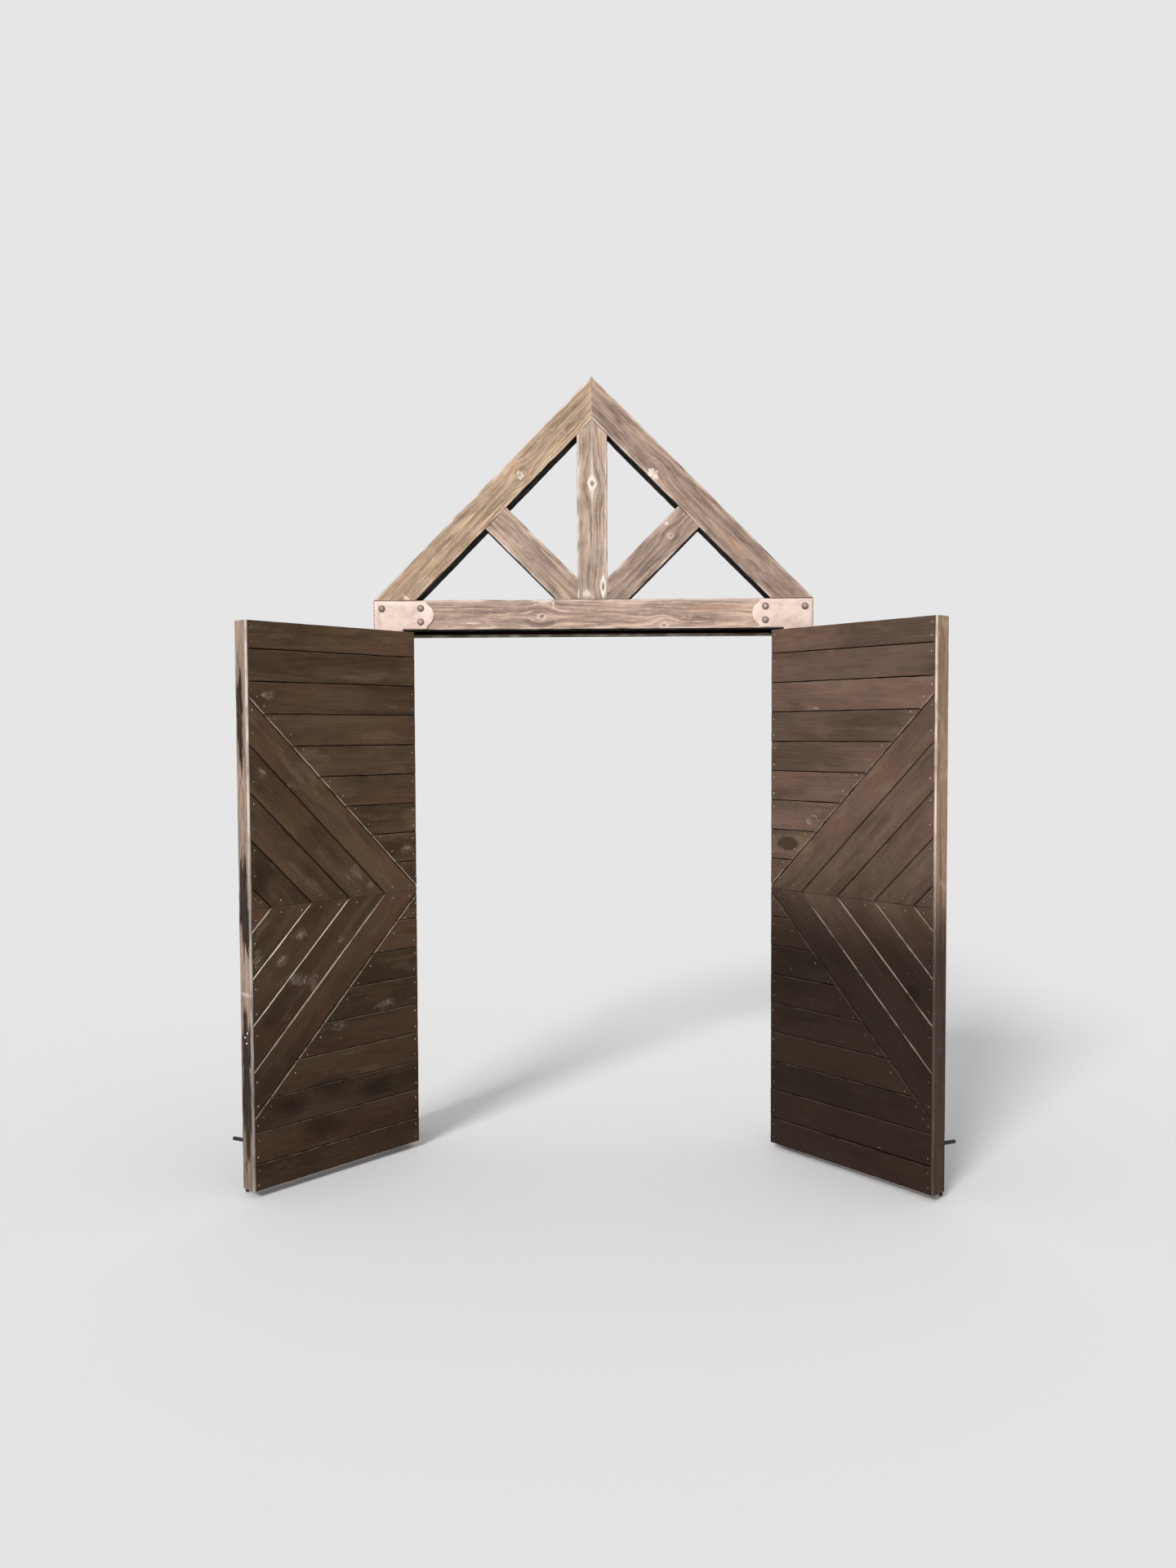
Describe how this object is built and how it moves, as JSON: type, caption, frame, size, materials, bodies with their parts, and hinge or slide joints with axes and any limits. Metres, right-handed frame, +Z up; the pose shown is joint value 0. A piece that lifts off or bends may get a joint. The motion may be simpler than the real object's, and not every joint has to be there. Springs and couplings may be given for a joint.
{
  "type": "lychgate",
  "caption": "Open timber lychgate: two posts under a tie beam and king post truss, with two swinging leaves boarded in chevrons.",
  "frame": {"origin": "centre of the left post's foot, seen from the side that the leaves open to", "axes": "+X along the gateway to the right post, +Y through the gateway away from the open leaves, +Z up the posts"},
  "size_m": [3.0347, 0.8955, 3.5667],
  "materials": {
    "weathered_timber": "weathered, sawn and worn stain",
    "stained_boards": "dark stained, tongued and grooved",
    "stained_framing": "dark stained, sawn",
    "trim_timber": "stained, worn to bare wood",
    "galvanised_steel": "dull galvanised",
    "bolt_steel": "dull galvanised",
    "black_iron": "black painted"
  },
  "bodies": {
    "gate_frame": {"left_post": "weathered_timber", "right_post": "weathered_timber", "tie_beam": "weathered_timber", "stop_strip": "weathered_timber", "left_rafter": "weathered_timber", "right_rafter": "weathered_timber", "king_post": "weathered_timber", "left_strut": "weathered_timber", "right_strut": "weathered_timber", "left_front_plate": "galvanised_steel", "right_front_plate": "galvanised_steel", "left_back_plate": "galvanised_steel", "right_back_plate": "galvanised_steel", "left_plate_bolts": "bolt_steel", "right_plate_bolts": "bolt_steel", "left_hinge_brackets": "black_iron", "right_hinge_brackets": "black_iron"},
    "left_leaf": {"left_hinge_stile": "stained_framing", "left_free_stile": "stained_framing", "left_top_rail": "stained_framing", "left_bottom_rail": "stained_framing", "left_ledges": "stained_framing", "left_braces": "stained_framing", "left_upper_boards": "stained_boards", "left_chevron_boards": "stained_boards", "left_lower_boards": "stained_boards", "left_edge_trim": "trim_timber", "left_strap_hinges": "black_iron", "left_bolt_guides": "black_iron"},
    "right_leaf": {"right_hinge_stile": "stained_framing", "right_free_stile": "stained_framing", "right_top_rail": "stained_framing", "right_bottom_rail": "stained_framing", "right_ledges": "stained_framing", "right_braces": "stained_framing", "right_upper_boards": "stained_boards", "right_chevron_boards": "stained_boards", "right_lower_boards": "stained_boards", "right_edge_trim": "trim_timber", "right_strap_hinges": "black_iron", "right_bolt_guides": "black_iron"},
    "left_drop_bolt": {"left_drop_bolt": "black_iron"},
    "right_drop_bolt": {"right_drop_bolt": "black_iron"}
  },
  "joints": [
    {"name": "left_leaf_swing", "type": "hinge", "parent": "gate_frame", "child": "left_leaf", "pos_m": [0.06735, -0.08585, 0], "axis": [0, 0, 1], "range_deg": [-38, 132]},
    {"name": "right_leaf_swing", "type": "hinge", "parent": "gate_frame", "child": "right_leaf", "pos_m": [1.83295, -0.08585, 0], "axis": [0, 0, -1], "range_deg": [-38, 132]},
    {"name": "left_bolt_slide", "type": "slide", "parent": "left_leaf", "child": "left_drop_bolt", "axis": [0, 0, 1], "range_m": [0, 0.1]},
    {"name": "right_bolt_slide", "type": "slide", "parent": "right_leaf", "child": "right_drop_bolt", "axis": [0, 0, 1], "range_m": [0, 0.1]}
  ]
}
